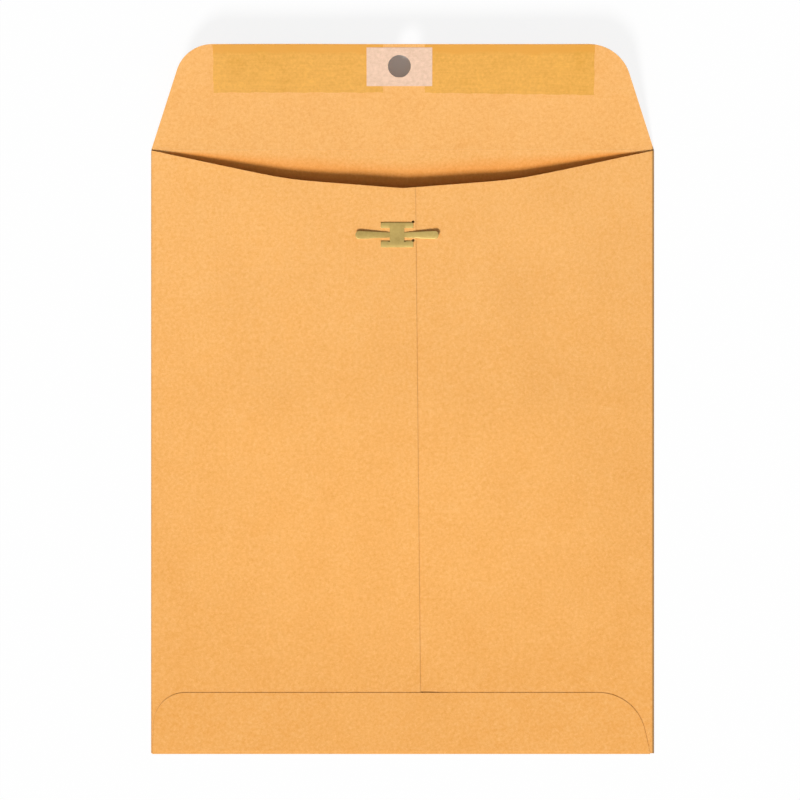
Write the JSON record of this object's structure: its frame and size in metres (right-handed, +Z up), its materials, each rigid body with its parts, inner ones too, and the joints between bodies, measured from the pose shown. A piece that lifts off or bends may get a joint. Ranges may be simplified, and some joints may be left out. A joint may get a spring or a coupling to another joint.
{
  "type": "clasp envelope",
  "caption": "Open-end kraft paper envelope lying clasp side up: folded panels form a pocket, a gummed seal flap swings at the top crease, and a metal clasp's prongs bend up to fasten it.",
  "frame": {"origin": "the middle of the front panel's outer face, on the surface the envelope lies on", "axes": "+X across the envelope, +Y up its length to the seal flap, +Z up out of the clasp side"},
  "size_m": [0.254, 0.3575, 0.0154],
  "materials": {
    "kraft_paper": "matte",
    "seal_gum": "satin",
    "patch_paper": "matte",
    "seam_glue": "satin",
    "brassed_metal": "satin"
  },
  "bodies": {
    "envelope": {"front_panel": "kraft_paper", "left_side_panel": "kraft_paper", "right_side_panel": "kraft_paper", "bottom_flap": "kraft_paper", "centre_seam_glue": "seam_glue", "bottom_seam_glue": "seam_glue", "clasp_base": "brassed_metal"},
    "flap": {"seal_flap": "kraft_paper", "seal_gum_left": "seal_gum", "seal_gum_right": "seal_gum", "hole_patch": "patch_paper"},
    "left_prong": {"left_prong": "brassed_metal"},
    "right_prong": {"right_prong": "brassed_metal"}
  },
  "joints": [
    {"name": "flap_crease", "type": "hinge", "parent": "envelope", "child": "flap", "pos_m": [0, 0.1524, 0.00068], "axis": [1, 0, 0], "range_deg": [-15.5, 149]},
    {"name": "left_prong_bend", "type": "hinge", "parent": "envelope", "child": "left_prong", "pos_m": [-0.00645, 0.10954, 0.00613], "axis": [0, 1, 0], "range_deg": [-3, 91]},
    {"name": "right_prong_bend", "type": "hinge", "parent": "envelope", "child": "right_prong", "pos_m": [0.00085, 0.10954, 0.00613], "axis": [0, -1, 0], "range_deg": [-3, 91]}
  ]
}
